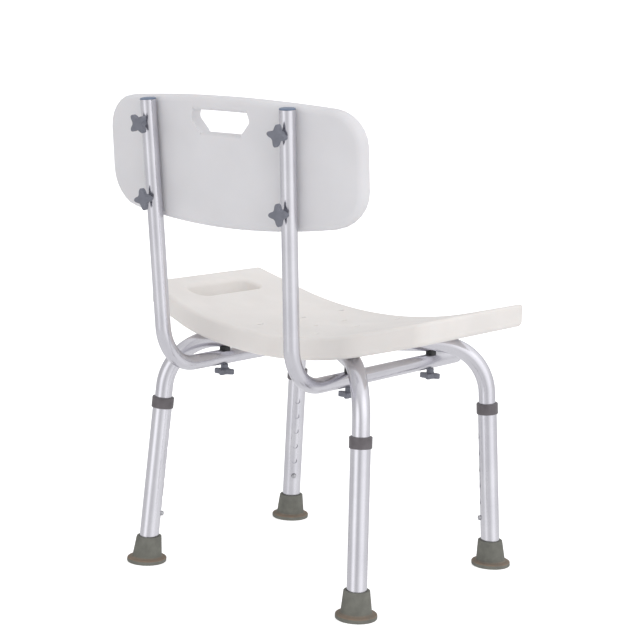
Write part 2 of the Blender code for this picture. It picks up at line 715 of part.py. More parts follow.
def fasten(name, place_at, turn, parent, stud_long, insert_from, meshes, finishes):
    """A knob on its stud, and the threaded insert that the stud screws into."""
    axis = empty("knob_axis_" + name, parent, place_at, turn)
    place("knob_" + name, meshes["knob"], axis, finishes["knob"])
    key = "stud", stud_long
    if key not in meshes:
        meshes[key] = rod("stud", BOLT_R, 0, stud_long)
    place("stud_" + name, meshes[key], axis, finishes["steel"], (0, 0, KNOB_BORE - 0.5 * MM - stud_long))
    place("insert_" + name, meshes["insert"], axis, finishes["brass"], (0, 0, -insert_from - INSERT_LONG))


def build():
    for obj in list(bpy.data.objects):
        bpy.data.objects.remove(obj)
    finishes = {
        "tube": material("satin_aluminium", "d6d4dc", 0.35, 1.0),
        "seat": material("white_polyethylene", "ece8e3", 0.5),
        "knob": material("slate_grey_nylon", "74747c", 0.5),
        "collar": material("warm_grey_nylon", "625d5c", 0.55),
        "rubber": material("grey_rubber", "6c6c64", 0.8),
        "cap": material("blue_grey_nylon", "67788c", 0.5),
        "saddle": material("black_nylon", "202022", 0.5),
        "steel": material("bright_steel", "b8b8ba", 0.3, 1.0),
        "brass": material("brass", "b59a5a", 0.35, 1.0),
    }
    chair = empty("chair", None, (0, CROSSING_Y, 0))
    posts = empty("post_plane", chair, (0, L_CORNER_Y, L_TUBE_Z), (pi / 2 - POST_LEAN, 0, 0))

    rise = CROSSING_HALF_HIGH + GAP / 2
    frame_tube("frame_tube_lower", leg_angle((-1, -1)), -rise, chair, finishes["tube"])
    frame_tube("frame_tube_upper", leg_angle((1, -1)), rise, chair, finishes["tube"])
    seat(chair, finishes["seat"])
    backrest(posts, finishes["seat"])

    plug_r = L_TUBE_R - WALL - GAP
    cap = turned(
        "cap",
        [
            (0, -CAP_SHANK),
            (plug_r, -CAP_SHANK),
            (plug_r, GAP),
            (L_TUBE_R, GAP),
            (L_TUBE_R, CAP_HEAD - 1 * MM),
            (L_TUBE_R - 1.5 * MM, CAP_HEAD),
            (0, CAP_HEAD),
        ],
    )
    for side_name, side in SIDES.items():
        tube = l_tube("l_tube_" + side_name, side, chair, finishes["tube"])
        holes = rods("post_drill", BOLT_HOLE_R, -0.03, 0.03, [b for b in back_bolts() if b[0] * side > 0])
        cut(tube, place("post_drill", holes, posts))
        lean = Vector((side * POST_SPREAD, sin(POST_LEAN), cos(POST_LEAN))).normalized()
        corner = Vector((side * L_TUBE_X, L_CORNER_Y, L_TUBE_Z))
        turn = Vector((0, 0, 1)).rotation_difference(lean).to_euler()
        place("post_cap_" + side_name, cap, chair, finishes["cap"], corner + lean * POST_LENGTH, turn)
        front = (side * L_TUBE_X, L_FRONT_Y, L_TUBE_Z)
        place("front_plug_" + side_name, cap, chair, finishes["cap"], front, (pi / 2, 0, 0))

    shared = leg_parts()
    for name, side in LEGS.items():
        leg(name, side, chair, finishes, shared)
        saddle("saddle_" + name, side, chair, finishes["saddle"])

    insert = turned(
        "insert",
        [(BOLT_R + GAP, 0), (INSERT_R, 0), (INSERT_R, INSERT_LONG), (BOLT_R + GAP, INSERT_LONG)],
        12,
        closed=True,
    )
    meshes = {"knob": knob_mesh(), "insert": insert}
    seat_insert = CHANNEL_TOP + SKIN - (L_TUBE_Z - L_TUBE_R - GAP)
    for name, (sx, sy) in LEGS.items():
        below = (sx * L_TUBE_X, sy * BOLT_Y, L_TUBE_Z - L_TUBE_R - GAP)
        stud_long = seat_insert + INSERT_LONG + KNOB_STEM
        turn = (pi, 0, SEAT_KNOB_TURN)
        fasten("seat_" + name, below, turn, chair, stud_long, seat_insert, meshes, finishes)
    for side_name, side in SIDES.items():
        for level, height in zip(("low", "high"), BACK_KNOBS):
            x = side * post_x(height)
            rear = BACK_REAR + x * x / (2 * BACK_CURVE_R)
            behind = L_TUBE_R + GAP
            depth = behind + rear + SKIN
            name = f"{level}_{side_name}"
            turn = (pi, 0, BACK_KNOB_TURNS[name])
            stud_long = depth + INSERT_LONG + KNOB_STEM
            at = (x, height, -behind)
            fasten("back_" + name, at, turn, posts, stud_long, depth, meshes, finishes)

    half = 2 * CROSSING_HALF_HIGH + GAP / 2 + GAP
    upper = [
        (RIVET_R, half),
        (RIVET_HEAD_R, half),
        (RIVET_HEAD_R / 2, half + RIVET_HEAD),
        (0, half + RIVET_HEAD),
    ]
    lower = [(r, -z) for r, z in reversed(upper)]
    rivet = turned("rivet", lower + upper, 12)
    place("crossing_rivet", rivet, chair, finishes["steel"], (0, 0, FRAME_TUBE_Z))


build()
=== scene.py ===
from math import atan2, cos, hypot, pi, radians, sin, tan

import bmesh
import bpy
from mathutils import Euler, Matrix, Vector


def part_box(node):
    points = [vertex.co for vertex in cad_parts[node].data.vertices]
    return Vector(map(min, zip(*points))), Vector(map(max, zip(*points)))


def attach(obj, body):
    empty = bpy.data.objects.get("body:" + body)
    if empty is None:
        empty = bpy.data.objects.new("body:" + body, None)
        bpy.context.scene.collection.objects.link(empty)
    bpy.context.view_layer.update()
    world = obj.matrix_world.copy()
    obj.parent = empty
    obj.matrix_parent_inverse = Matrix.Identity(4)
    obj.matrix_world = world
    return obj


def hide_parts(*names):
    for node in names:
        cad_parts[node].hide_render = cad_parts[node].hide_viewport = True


# A bathroom chair with height-adjustable legs, in metres. The sitter faces -Y.
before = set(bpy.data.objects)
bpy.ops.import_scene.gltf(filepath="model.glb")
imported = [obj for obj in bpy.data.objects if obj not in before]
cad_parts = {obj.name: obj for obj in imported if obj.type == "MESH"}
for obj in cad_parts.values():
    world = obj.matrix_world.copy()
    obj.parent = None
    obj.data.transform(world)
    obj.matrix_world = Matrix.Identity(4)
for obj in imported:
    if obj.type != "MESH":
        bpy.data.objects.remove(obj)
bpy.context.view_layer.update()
mm = 0.001
scene = bpy.context.scene

legNames = ("rear_left", "rear_right", "front_left", "front_right")
sides = {"left": 1, "right": -1}
print("frame loaded:", len(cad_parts), "nodes")


def linear(code):
    # sRGB hex to linear
    parts = [int(code[i:i + 2], 16) / 255 for i in (0, 2, 4)]
    return [c / 12.92 if c <= 0.04045 else ((c + 0.055) / 1.055) ** 2.4 for c in parts] + [1.0]


def addNode(tree, kind, settings=None, inputs=None, links=None):
    # one node: its own settings, its socket values, and the sockets that feed it
    node = tree.nodes.new(kind)
    for key, value in (settings or {}).items():
        setattr(node, key, value)
    for key, value in (inputs or {}).items():
        node.inputs[key].default_value = value
    for key, source in (links or {}).items():
        tree.links.new(source, node.inputs[key])
    return node


def perMetre(size):
    # noise scale that makes one blotch or grain about this size in metres
    return 1 / size


def makeSurface(name, look):
    # shared by every finish: a slow drift of colour, and a grain that varies the gloss and the relief
    mat = bpy.data.materials.new(name)
    mat.use_nodes = True
    tree = mat.node_tree
    shader = tree.nodes["Principled BSDF"]
    place = addNode(tree, "ShaderNodeTexCoord").outputs["Object"]
    cloud, grain = [addNode(tree, "ShaderNodeTexNoise", links={"Vector": place}, inputs={
        "Scale": perMetre(size), "Detail": detail}).outputs["Fac"] for size, detail in (look["cloud"], look["grain"])]
    colour = addNode(tree, "ShaderNodeValToRGB", links={"Fac": cloud})
    stops = colour.color_ramp.elements
    stops[0].position, stops[1].position = look.get("drift", grainBand)
    stops[0].color, stops[1].color = linear(look["shade"]), linear(look["pale"])
    tree.links.new(colour.outputs["Color"], shader.inputs["Base Color"])
    gloss = addNode(tree, "ShaderNodeMapRange", links={"Value": grain}, inputs={
        "From Min": grainBand[0], "From Max": grainBand[1],
        "To Min": look["roughness"][0], "To Max": look["roughness"][1]})
    tree.links.new(gloss.outputs["Result"], shader.inputs["Roughness"])
    strength, depth = look["relief"]
    relief = addNode(tree, "ShaderNodeBump", inputs={"Strength": strength, "Distance": depth}, links={"Height": grain})
    tree.links.new(relief.outputs["Normal"], shader.inputs["Normal"])
    for key, value in look.get("fixed", {}).items():
        shader.inputs[key].default_value = value
    return mat, {"place": place, "cloud": cloud, "colour": colour.outputs["Color"], "relief": relief}


grainBand = (0.3, 0.7)  # where most of a noise pattern's values lie

# Blow-moulded polyethylene: a warm off-white with a fine matt grain from the tool and a slow
# unevenness in the wall, so broad faces are never quite flat. Light goes a little way into it.
polyethylene = {"cloud": (70 * mm, 3.0), "grain": (1.3 * mm, 1.0), "drift": (0.35, 0.65), "roughness": (0.46, 0.60),
                "relief": (0.10, 0.05 * mm), "ripple": (38 * mm, 1.0), "rippleRelief": (0.25, 0.6 * mm),
                "fixed": {"IOR": 1.51, "Subsurface Weight": 0.3, "Subsurface Radius": (1.0, 0.85, 0.75),
                          "Subsurface Scale": 6 * mm}}
# Seat and backrest are the same polyethylene. The backrest's copy is painted darker and cooler than the seat's, as
# painted shade for its back face, which gets less light.
panelColoursWithShadedBack = {"seat": {"pale": "e9e5e1", "shade": "e4e0dc"}, "back": {"pale": "e0dfe1", "shade": "dcdbdd"}}


def makePolyethylene(panel):
    mat, parts = makeSurface(panel + "BlowMouldedPolyethylene", polyethylene | panelColoursWithShadedBack[panel])
    tree = mat.node_tree
    size, detail = polyethylene["ripple"]
    ripple = addNode(tree, "ShaderNodeTexNoise", inputs={"Scale": perMetre(size), "Detail": detail},
                     links={"Vector": parts["place"]})
    strength, depth = polyethylene["rippleRelief"]
    soft = addNode(tree, "ShaderNodeBump", inputs={"Strength": strength, "Distance": depth},
                   links={"Height": ripple.outputs["Fac"]})
    tree.links.new(soft.outputs["Normal"], parts["relief"].inputs["Normal"])
    return mat


# Satin anodised aluminium tube: etched before anodising, so the gloss is broad and even, with
# faint drawing marks and a lavender cast.
aluminium = {"pale": "dad9de", "shade": "d0cfd5", "roughness": (0.20, 0.27), "cloud": (55 * mm, 3.0),
             "grain": (0.9 * mm, 2.0), "relief": (0.12, 0.02 * mm), "fixed": {"Metallic": 1.0}}

# Injection-moulded nylon: an even colour with a fine spark-eroded grain and a dull sheen.
nylon = {"cloud": (12 * mm, 3.0), "grain": (0.8 * mm, 1.0), "relief": (0.15, 0.05 * mm), "fixed": {"IOR": 1.53}}
nylons = {"slate": {"pale": "797b85", "shade": "6d6f79", "roughness": (0.44, 0.56)},
          "warm": {"pale": "686366", "shade": "595457", "roughness": (0.32, 0.44)},
          "blue": {"pale": "6f7f98", "shade": "63728a", "roughness": (0.36, 0.48)},
          "black": {"pale": "29292b", "shade": "1f1f21", "roughness": (0.44, 0.56)}}

# Turned or rolled metal with fine tool marks.
metal = {"cloud": (6 * mm, 3.0), "grain": (0.7 * mm, 2.0), "relief": (0.10, 0.02 * mm), "fixed": {"Metallic": 1.0}}
steel = {"pale": "c2c2c4", "shade": "aaaaae", "roughness": (0.22, 0.36)}
brass = {"pale": "b99f5e", "shade": "a98f50", "roughness": (0.29, 0.43)}

# Moulded rubber: dull, slightly mottled, with a brown bloom where dust settles on the flange.
rubber = {"pale": "77776f", "shade": "66665f", "roughness": (0.70, 0.88), "cloud": (14 * mm, 4.0),
          "grain": (0.9 * mm, 1.0), "relief": (0.25, 0.08 * mm)}
bloom = {"colour": "8c7059", "low": 4.0 * mm, "high": 11.5 * mm, "facing": (0.1, 0.7), "most": 0.95,
         "patch": (0.25, 0.6), "least": 0.35}


def makeRubber():
    mat, parts = makeSurface("mouldedGreyRubber", rubber)
    tree = mat.node_tree
    height = addNode(tree, "ShaderNodeSeparateXYZ", links={"Vector": parts["place"]}).outputs["Z"]
    normal = addNode(tree, "ShaderNodeNewGeometry").outputs["Normal"]
    facing = addNode(tree, "ShaderNodeSeparateXYZ", links={"Vector": normal}).outputs["Z"]
    amount = None  # low down, on faces that look up, and in patches
    for source, span, least, most in ((height, (bloom["high"], bloom["low"]), 0.0, 1.0),
                                      (facing, bloom["facing"], 0.0, bloom["most"]),
                                      (parts["cloud"], bloom["patch"], bloom["least"], 1.0)):
        share = addNode(tree, "ShaderNodeMapRange", links={"Value": source}, inputs={
            "From Min": span[0], "From Max": span[1], "To Min": least, "To Max": most}).outputs["Result"]
        if amount is None:
            amount = share
        else:
            amount = addNode(tree, "ShaderNodeMath", {"operation": "MULTIPLY"}, links={0: amount, 1: share}).outputs[0]
    mixed = addNode(tree, "ShaderNodeMix", {"data_type": "RGBA"}, inputs={7: linear(bloom["colour"])},
                    links={0: amount, 6: parts["colour"]}).outputs[2]
    tree.links.new(mixed, tree.nodes["Principled BSDF"].inputs["Base Color"])
    return mat


finishes = {
    "white_polyethylene": makePolyethylene("seat"),
    "satin_aluminium": makeSurface("satinAnodisedAluminium", aluminium)[0],
    "slate_grey_nylon": makeSurface("slateGreyNylon", nylon | nylons["slate"])[0],
    "warm_grey_nylon": makeSurface("warmGreyNylon", nylon | nylons["warm"])[0],
    "blue_grey_nylon": makeSurface("blueGreyNylon", nylon | nylons["blue"])[0],
    "black_nylon": makeSurface("blackNylon", nylon | nylons["black"])[0],
    "grey_rubber": makeRubber(),
    "bright_steel": makeSurface("brightSteel", metal | steel)[0],
    "brass": makeSurface("turnedBrass", metal | brass)[0],
}
print("materials made:", len(finishes))


def movedVerts(result):
    return [g for g in result if isinstance(g, bmesh.types.BMVert)]


def movedEdges(result):
    return [g for g in result if isinstance(g, bmesh.types.BMEdge)]


def makeObject(bm, name, place=None):
    # closes a shape and puts it in the scene, its place in its mesh
    bmesh.ops.remove_doubles(bm, verts=bm.verts, dist=1e-6)
    if place is not None:
        bmesh.ops.transform(bm, matrix=place, verts=bm.verts)
    bmesh.ops.recalc_face_normals(bm, faces=bm.faces)
    mesh = bpy.data.meshes.new(name)
    bm.to_mesh(mesh)
    bm.free()
    obj = bpy.data.objects.new(name, mesh)
    scene.collection.objects.link(obj)
    return obj


def applyModifiers(obj):
    graph = bpy.context.evaluated_depsgraph_get()
    made = bpy.data.meshes.new_from_object(obj.evaluated_get(graph))
    obj.modifiers.clear()
    obj.data = made


def thicken(obj, wall):
    # a tube skin gets its wall, growing inwards
    solid = obj.modifiers.new("wall", "SOLIDIFY")
    solid.thickness, solid.offset, solid.use_even_offset = wall, -1, True
    applyModifiers(obj)


def cutAway(obj, *cutters):
    for cutter in cutters:
        cut = obj.modifiers.new("cut", "BOOLEAN")
        cut.operation, cut.solver, cut.object = "DIFFERENCE", "EXACT", cutter
    applyModifiers(obj)
    for cutter in cutters:
        bpy.data.objects.remove(cutter)


def finishPiece(obj, slotName, body, *nodes, sharp=32, finish=None):
    # material, shading, and which body and CAD nodes the piece stands for
    obj.data.materials.clear()
    obj.data.materials.append(finish or finishes[slotName])
    obj.data.shade_smooth()
    obj.data.set_sharp_from_angle(angle=radians(sharp))
    weighted = obj.modifiers.new("evenShading", "WEIGHTED_NORMAL")
    weighted.keep_sharp = True
    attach(obj, body)
    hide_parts(*nodes)
    return obj


def roundCorners(bm, corners):
    # corners: (vertex, fillet), grouped so that equal fillets are made together
    for size in sorted({fillet for _, fillet in corners if fillet > 0}):
        group = [v for v, fillet in corners if fillet == size]
        bmesh.ops.bevel(bm, geom=group, affect="VERTICES", offset=size, offset_type="OFFSET",
                        segments=6 if size > 4 * mm else 4, profile=0.5, material=-1)


def outlineFace(bm, points):
    # a flat face through (x, y, fillet) corners, its corners rounded
    verts = [bm.verts.new((x, y, 0)) for x, y, _ in points]
    bm.faces.new(verts)
    roundCorners(bm, [(v, p[2]) for v, p in zip(verts, points)])
    return bm.faces[:]


def turned(name, profile, steps=48, place=None, shear=0.0):
    # a profile of (radius, height, fillet) corners turned about Z; it closes on itself or on the axis
    bm = bmesh.new()
    outlineFace(bm, profile)
    bmesh.ops.delete(bm, geom=bm.faces[:], context="FACES_ONLY")
    onAxis = [e for e in bm.edges if all(abs(v.co.x) < 1e-7 for v in e.verts)]
    bmesh.ops.delete(bm, geom=onAxis, context="EDGES")
    bmesh.ops.rotate(bm, cent=(0, 0, 0), matrix=Matrix.Rotation(pi / 2, 3, "X"), verts=bm.verts)
    bmesh.ops.spin(bm, geom=bm.verts[:] + bm.edges[:], cent=(0, 0, 0), axis=(0, 0, 1),
                   angle=2 * pi, steps=steps, use_merge=True)
    if shear:
        lean = Matrix.Identity(4)
        lean[0][2] = shear
        bmesh.ops.transform(bm, matrix=lean, verts=bm.verts)
    return makeObject(bm, name, place)


def rodCutter(radius, low, high, place=None, steps=32):
    # turned by part of a step, so that none of its edges meets one of the tube's
    bm = bmesh.new()
    turn = Matrix.Rotation(0.7 * pi / steps, 4, "Z")
    bmesh.ops.create_cone(bm, cap_ends=True, segments=steps, radius1=radius, radius2=radius, depth=high - low,
                          matrix=Matrix.Translation((0, 0, (low + high) / 2)) @ turn)
    return makeObject(bm, "cutter", place)


def prismCutter(points, low, high, place=None):
    bm = bmesh.new()
    faces = outlineFace(bm, points)
    bmesh.ops.translate(bm, verts=bm.verts, vec=(0, 0, low))
    raised = bmesh.ops.extrude_face_region(bm, geom=faces)
    bmesh.ops.translate(bm, verts=movedVerts(raised["geom"]), vec=(0, 0, high - low))
    return makeObject(bm, "cutter", place)


# A tube is drawn out ring by ring: straight with drawOut, round a bend with sweep.
def openRing(bm, radius, start, direction, steps=40):
    aim = Vector((0, 0, 1)).rotation_difference(Vector(direction)).to_matrix().to_4x4()
    made = bmesh.ops.create_circle(bm, cap_ends=False, segments=steps, radius=radius,
                                   matrix=Matrix.Translation(start) @ aim)
    return made["verts"], list({e for v in made["verts"] for e in v.link_edges})


def drawOut(bm, ring, step):
    grown = bmesh.ops.extrude_edge_only(bm, edges=ring[1])
    verts = movedVerts(grown["geom"])
    bmesh.ops.translate(bm, verts=verts, vec=step)
    return verts, [e for e in movedEdges(grown["geom"]) if e.is_boundary]


def sweep(bm, ring, centre, axis, angle, steps=22):
    swept = bmesh.ops.spin(bm, geom=ring[0] + ring[1], cent=centre, axis=axis, angle=angle, steps=steps)
    return movedVerts(swept["geom_last"]), movedEdges(swept["geom_last"])


def middle(node):
    low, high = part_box(node)
    return (low + high) / 2


crossing = middle("crossing_rivet")  # where the two leg tubes cross
splay = radians(4.3)
footAt = {n: Vector((middle("foot_tip_" + n).x, middle("foot_tip_" + n).y, 0)) for n in legNames}
halfSpan = sum(hypot(p.x - crossing.x, p.y - crossing.y) for p in footAt.values()) / 4


def headingOf(name):
    return atan2(crossing.y - footAt[name].y, crossing.x - footAt[name].x)


def legPlace(name):
    # the leg's own frame: foot at the origin, Z up the leg, X towards the crossing
    return (Matrix.Translation(footAt[name]) @ Matrix.Rotation(headingOf(name), 4, "Z")
            @ Matrix.Rotation(splay, 4, "Y"))


chairPlace = Matrix.Translation((crossing.x, crossing.y, 0))

# the two leg tubes that cross under the seat
crossTube = {"radius": 12.7 * mm, "wall": 1.2 * mm, "height": 0.342, "bend": 0.080, "end": 56 * mm,
             "flat": 20 * mm, "taper": 44 * mm, "taperSteps": 8, "halfWide": 16 * mm, "halfHigh": 5.4 * mm,
             "buttonHole": 4.1 * mm, "buttonAt": 75 * mm, "boltHole": 3.4 * mm, "boltAcross": 0.1545,
             "cutReach": 0.02}


def makeCrossTube(name, heading, rise):
    d = crossTube
    corner = halfSpan - d["height"] * tan(splay)
    turn = pi / 2 - splay
    reach = d["bend"] * tan(turn / 2)
    up = Vector((-sin(splay), 0, cos(splay)))
    bottom = Vector((halfSpan, 0, 0)) + up * d["end"]
    bendStart = Vector((corner, 0, d["height"])) - up * reach
    run = corner - reach
    bm = bmesh.new()
    ring = openRing(bm, d["radius"], bottom, up)
    ring = drawOut(bm, ring, bendStart - bottom)
    ring = sweep(bm, ring, (run, 0, d["height"] - d["bend"]), (0, -1, 0), turn)
    ring = drawOut(bm, ring, (d["taper"] - run, 0, 0))
    places = [d["taper"] - (d["taper"] - d["flat"]) * k / d["taperSteps"] for k in range(1, d["taperSteps"] + 1)]
    pressed, x = [], d["taper"]
    for station in places + [-p for p in reversed(places)] + [-d["taper"]]:
        ring = drawOut(bm, ring, (station - x, 0, 0))
        pressed.append((ring[0], station))
        x = station
    ring = drawOut(bm, ring, (d["taper"] - run, 0, 0))
    ring = sweep(bm, ring, (-run, 0, d["height"] - d["bend"]), (0, -1, 0), turn)
    drawOut(bm, ring, Vector((-bottom.x, 0, bottom.z)) - Vector((-bendStart.x, 0, bendStart.z)))
    for verts, station in pressed:  # pressed flat where the tubes cross, easing in and out
        part = min(1, (d["taper"] - abs(station)) / (d["taper"] - d["flat"]))
        part = part * part * (3 - 2 * part)
        wide = 1 + (d["halfWide"] / d["radius"] - 1) * part
        high = 1 + (d["halfHigh"] / d["radius"] - 1) * part
        centre = Matrix.Translation((station, 0, d["height"]))
        bmesh.ops.transform(bm, verts=verts, matrix=Matrix.Translation((0, 0, rise * part)) @ centre
                            @ Matrix.Diagonal((1, wide, high, 1)) @ centre.inverted())
    place = chairPlace @ Matrix.Rotation(heading, 4, "Z")
    tube = makeObject(bm, name + "_piece")
    thicken(tube, d["wall"])
    holes = [rodCutter(d["boltHole"], d["height"] - d["cutReach"], d["height"] + d["cutReach"],
                       Matrix.Translation((across, 0, 0))) for across in (-d["boltAcross"], d["boltAcross"])]
    for end in (1, -1):
        spot = Vector((end * (halfSpan - d["buttonAt"] * sin(splay)), 0, d["buttonAt"] * cos(splay)))
        holes.append(rodCutter(d["buttonHole"], 0, d["cutReach"], Matrix.Translation(spot)
                               @ Matrix.Rotation(-end * (pi / 2 + splay), 4, "Y")))
    cutAway(tube, *holes)
    tube.data.transform(place)
    return finishPiece(tube, "satin_aluminium", "root", name)


gap = 0.3 * mm  # play between pieces that fit together
makeCrossTube("frame_tube_lower", headingOf("front_right"), -crossTube["halfHigh"] - gap / 2)
makeCrossTube("frame_tube_upper", headingOf("front_left"), crossTube["halfHigh"] + gap / 2)
print("crossing leg tubes made")

# the two L-shaped tubes and their caps
lTube = {"radius": 11.1 * mm, "wall": 1.2 * mm, "height": 0.315, "x": 0.1145, "front": -0.170,
         "corner": 0.2345, "bend": 0.068, "post": 0.3835, "lean": radians(6.4), "spread": 0.0194,
         "boltHole": 3.4 * mm, "boltY": 0.10334, "cutReach": 0.02, "postReach": 0.03}
postPlane = (chairPlace @ Matrix.Translation((0, lTube["corner"], lTube["height"]))
             @ Matrix.Rotation(pi / 2 - lTube["lean"], 4, "X"))
backKnobs = {"low": 0.247, "high": 0.352}  # heights up the post


def postX(height):
    return lTube["x"] + lTube["spread"] * height


def makeLTube(name, side):
    d = lTube
    up = Vector((side * d["spread"], sin(d["lean"]), cos(d["lean"]))).normalized()
    back = Vector((0, 1, 0))
    corner = Vector((side * d["x"], d["corner"], d["height"]))
    front = Vector((side * d["x"], d["front"], d["height"]))
    turn = back.angle(up)
    reach = d["bend"] * tan(turn / 2)
    inward = (up - up.dot(back) * back).normalized()
    bendStart = corner - back * reach
    bm = bmesh.new()
    ring = openRing(bm, d["radius"], front, back)
    ring = drawOut(bm, ring, bendStart - front)
    ring = sweep(bm, ring, bendStart + inward * d["bend"], back.cross(up).normalized(), turn)
    drawOut(bm, ring, up * (d["post"] - reach))
    tube = makeObject(bm, "l_tube_" + name + "_piece", chairPlace)
    thicken(tube, d["wall"])
    holes = [rodCutter(d["boltHole"], d["height"] - d["cutReach"], d["height"] + d["cutReach"],
                       chairPlace @ Matrix.Translation((side * d["x"], y, 0))) for y in (-d["boltY"], d["boltY"])]
    holes += [rodCutter(d["boltHole"], -d["postReach"], d["postReach"],
                        postPlane @ Matrix.Translation((side * postX(h), h, 0)))
              for h in backKnobs.values()]
    cutAway(tube, *holes)
    finishPiece(tube, "satin_aluminium", "root", "l_tube_" + name)
    top = corner + up * d["post"]
    return (chairPlace @ Matrix.Translation(top) @ Vector((0, 0, 1)).rotation_difference(up).to_matrix().to_4x4(),
            chairPlace @ Matrix.Translation(front) @ Matrix.Rotation(pi / 2, 4, "X"))


cap = {"head": 2.5 * mm, "shank": 12 * mm, "gap": gap}


def makeCap(name, place):
    # a push-in cap with a shallow domed head and a shank inside the tube
    radius, inner = lTube["radius"], lTube["radius"] - lTube["wall"] - cap["gap"]
    head = cap["head"]
    obj = turned(name + "_piece", [
        (0, -cap["shank"], 0), (inner, -cap["shank"], 1 * mm), (inner, cap["gap"], 0), (radius, cap["gap"], 0.2 * mm),
        (radius, head - 0.9 * mm, 0.7 * mm), (radius * 0.62, head - 0.2 * mm, 3 * mm), (0, head, 0)], place=place)
    return finishPiece(obj, "blue_grey_nylon", "root", name, sharp=50)


for sideName, side in sides.items():
    topPlace, frontPlace = makeLTube(sideName, side)
    makeCap("post_cap_" + sideName, topPlace)
    makeCap("front_plug_" + sideName, frontPlace)
print("L tubes and caps made")

# one leg: its tube, collar, foot and snap button
legTube = {"radius": 14.3 * mm, "wall": 1.2 * mm, "bottom": 7.5 * mm, "top": 250.5 * mm, "hole": 4.1 * mm,
           "lowestHole": 75 * mm, "pitch": 25.4 * mm, "holes": 6,
           "cutLow": 6 * mm, "cutHigh": 18 * mm}
collar = {"radius": 16.3 * mm, "long": 16.4 * mm, "lip": 2.7 * mm}
foot = {"flange": 29.5 * mm, "flangeHigh": 6.5 * mm, "low": 21.5 * mm, "high": 18.6 * mm, "tall": 39.5 * mm,
        "floor": 5.6 * mm, "tread": 1.2 * mm}
button = {"radius": 3.7 * mm, "proud": 4.2 * mm}


def makeLeg(name):
    place = legPlace(name)
    body = "leg_" + name
    outer, inner = legTube["radius"], legTube["radius"] - legTube["wall"]
    tube = turned("leg_tube_" + name + "_piece", [
        (inner, legTube["bottom"], 0), (outer, legTube["bottom"], 0.4 * mm), (outer, legTube["top"], 0.4 * mm),
        (inner, legTube["top"], 0)])
    heights = [legTube["lowestHole"] + legTube["pitch"] * k for k in range(legTube["holes"])]
    cutAway(tube, *[rodCutter(legTube["hole"], legTube["cutLow"], legTube["cutHigh"], Matrix.Translation((0, 0, h))
                              @ Matrix.Rotation(pi / 2, 4, "Y")) for h in heights])
    tube.data.transform(place)
    finishPiece(tube, "satin_aluminium", body, "leg_tube_" + name)

    d = collar
    skirt, neck = outer + gap, crossTube["radius"] + gap
    low, high = legTube["top"] + d["lip"] - d["long"], legTube["top"] + d["lip"]
    ring = turned("leg_collar_" + name + "_piece", [
        (skirt, low, 0.3 * mm), (d["radius"], low, 0.8 * mm), (d["radius"], high, 1.3 * mm), (neck, high, 0.4 * mm),
        (neck, legTube["top"] + gap, 0), (skirt, legTube["top"] + gap, 0)], place=place)
    finishPiece(ring, "warm_grey_nylon", body, "leg_collar_" + name, sharp=50)

    d = foot
    tread = d["tread"]
    tip = turned("foot_tip_" + name + "_piece", [
        (0, tread, 0), (8 * mm, tread, 0.3 * mm), (8 * mm, 0, 0.3 * mm), (11 * mm, 0, 0.3 * mm),
        (11 * mm, tread, 0.3 * mm), (16 * mm, tread, 0.3 * mm), (16 * mm, 0, 0.3 * mm), (19 * mm, 0, 0.3 * mm),
        (19 * mm, tread, 0.3 * mm), (24 * mm, tread, 0.3 * mm), (24 * mm, 0, 0.3 * mm),
        (d["flange"], 0, 1.6 * mm), (d["flange"], d["flangeHigh"], 1.6 * mm),
        (d["low"] + 0.6 * mm, d["flangeHigh"] + 1.6 * mm, 1.8 * mm),
        (d["high"], d["tall"], 1.4 * mm), (outer + gap, d["tall"], 0.5 * mm), (outer + gap, d["floor"], 0),
        (0, d["floor"], 0)], 64,
        Matrix.Translation(footAt[name]) @ Matrix.Rotation(headingOf(name), 4, "Z"), tan(splay))
    finishPiece(tip, "grey_rubber", body, "foot_tip_" + name, sharp=50)

    d = button
    inside = crossTube["radius"] - crossTube["wall"] - gap
    proud = outer + d["proud"]
    press = turned("snap_button_" + name + "_piece", [
        (0, inside - 1.5 * mm, 0), (5 * mm, inside - 1.5 * mm, 0), (5 * mm, inside - 1.0 * mm, 0.2 * mm),
        (d["radius"], inside - 0.6 * mm, 0), (d["radius"], proud - 1.2 * mm, 1.0 * mm),
        (d["radius"] * 0.5, proud - 0.15 * mm, 1.0 * mm), (0, proud, 0)], 32,
        place @ Matrix.Translation((0, 0, legTube["lowestHole"])) @ Matrix.Rotation(pi / 2, 4, "Y"))
    finishPiece(press, "bright_steel", "button_" + name, "snap_button_" + name, sharp=50)


for name in legNames:
    makeLeg(name)
print("legs made")

# saddles between the L tubes and the leg tubes
saddle = {"half": 6.8 * mm, "corner": 4 * mm, "low": 0.3240, "high": 0.3318, "cutReach": 0.03, "boltLow": 0.3,
          "boltHigh": 0.36}


def makeSaddle(name):
    d = saddle
    sx = 1 if footAt[name].x > 0 else -1
    sy = 1 if footAt[name].y > crossing.y else -1
    at = Matrix.Translation((sx * lTube["x"], sy * lTube["boltY"], 0))
    half = d["half"]
    block = prismCutter([(-half, -half, d["corner"]), (half, -half, d["corner"]), (half, half, d["corner"]),
                         (-half, half, d["corner"])], d["low"], d["high"], chairPlace @ at)
    block.name = "saddle_" + name + "_piece"
    lift = Matrix.Translation((0, 0, lTube["height"]))
    over = Matrix.Translation((0, 0, crossTube["height"]))
    heading = headingOf(name)
    cutAway(block,
            rodCutter(lTube["radius"] + gap, -d["cutReach"], d["cutReach"],
                      chairPlace @ at @ lift @ Matrix.Rotation(pi / 2, 4, "X"), 64),
            rodCutter(crossTube["radius"] + gap, -d["cutReach"], d["cutReach"], chairPlace @ at @ over
                      @ Matrix.Rotation(heading, 4, "Z") @ Matrix.Rotation(pi / 2, 4, "Y"), 64),
            rodCutter(lTube["boltHole"], d["boltLow"], d["boltHigh"], chairPlace @ at))
    finishPiece(block, "black_nylon", "root", "saddle_" + name)


for name in legNames:
    makeSaddle(name)

